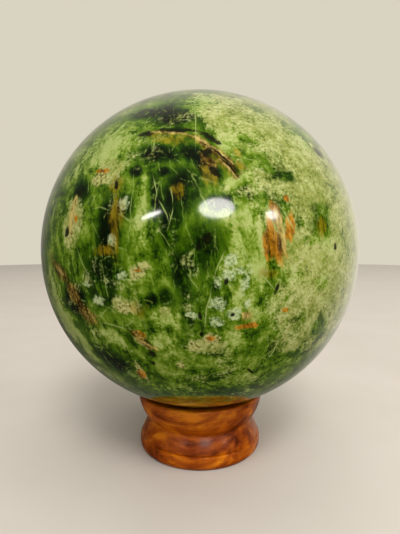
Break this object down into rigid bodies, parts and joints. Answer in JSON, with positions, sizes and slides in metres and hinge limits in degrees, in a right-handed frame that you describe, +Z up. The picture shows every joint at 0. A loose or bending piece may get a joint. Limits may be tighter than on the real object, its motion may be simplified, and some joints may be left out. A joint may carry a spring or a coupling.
{
  "type": "decorative stone sphere on stand",
  "caption": "Polished green stone sphere with rust seams and pale veins, resting in the cup of a turned wooden stand; a display ornament.",
  "frame": {"origin": "centre of the stand's flat underside, on the surface that it stands on", "axes": "+Z up along the common axis of the stand and the sphere; -Y faces the viewer of the picture"},
  "size_m": [0.15, 0.15, 0.1732],
  "materials": {
    "polished_green_stone": "high polish, mottled green with rust seams, cream patches and pale veins",
    "lacquered_wood": "gloss lacquer over turned red-brown wood"
  },
  "bodies": {
    "root": {"stone_sphere": "polished_green_stone", "wooden_stand": "lacquered_wood"}
  },
  "joints": []
}
